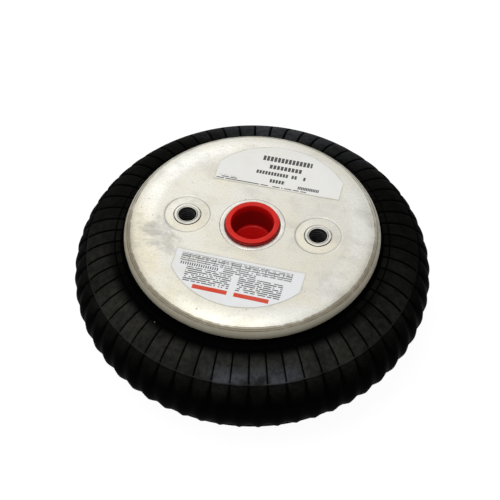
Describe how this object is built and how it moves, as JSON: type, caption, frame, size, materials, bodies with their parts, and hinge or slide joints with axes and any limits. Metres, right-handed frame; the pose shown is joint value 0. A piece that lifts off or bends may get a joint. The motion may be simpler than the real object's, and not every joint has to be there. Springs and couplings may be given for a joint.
{
  "type": "air bellows actuator",
  "caption": "Air bellows actuator: a ribbed rubber convolution crimped between round bead plates that carry blind nuts and a plugged air port, lifting along its axis when filled.",
  "frame": {"origin": "centre of the lower mounting face, on the actuator's axis", "axes": "+Z along the stroke, from the lower plate to the upper plate; +X along the line of the blind nuts"},
  "size_m": [0.1914, 0.1914, 0.0782],
  "materials": {
    "zinc_plate": "zinc plated, warm chromate tint, light stains and scratches",
    "nut_steel": "zinc plated, darker in the thread",
    "port_steel": "zinc plated, turned",
    "bead_steel": "bronze coated bead wire",
    "cover_rubber": "moulded, satin, slightly dusty",
    "bead_rubber": "matt",
    "liner_rubber": "matt",
    "cord_fabric": "rubberised cord",
    "label_film": "printed film",
    "plug_plastic": "moulded, semi gloss"
  },
  "bodies": {
    "lower_end": {"bottom_bead_plate": "zinc_plate", "bottom_blind_nut_left": "nut_steel", "bottom_blind_nut_right": "nut_steel", "lower_bead_filler": "bead_rubber", "lower_bead_wire": "bead_steel", "bellows_cover": "cover_rubber", "outer_cord_ply": "cord_fabric", "inner_cord_ply": "cord_fabric", "inner_liner": "liner_rubber"},
    "upper_end": {"top_bead_plate": "zinc_plate", "top_blind_nut_left": "nut_steel", "top_blind_nut_right": "nut_steel", "air_port_boss": "port_steel", "upper_bead_filler": "bead_rubber", "upper_bead_wire": "bead_steel", "type_label": "label_film", "data_label": "label_film"},
    "plug": {"port_plug": "plug_plastic"}
  },
  "joints": [
    {"name": "stroke", "type": "slide", "parent": "lower_end", "child": "upper_end", "axis": [0, 0, 1], "range_m": [-0.025, 0.028], "stiffness_N_per_m": 8000, "springref_m": 0.0005, "deforming": ["bellows_cover", "outer_cord_ply", "inner_cord_ply", "inner_liner"]},
    {"name": "plug_pull", "type": "slide", "parent": "upper_end", "child": "plug", "axis": [0, 0, 1], "range_m": [0, 0.03]}
  ]
}
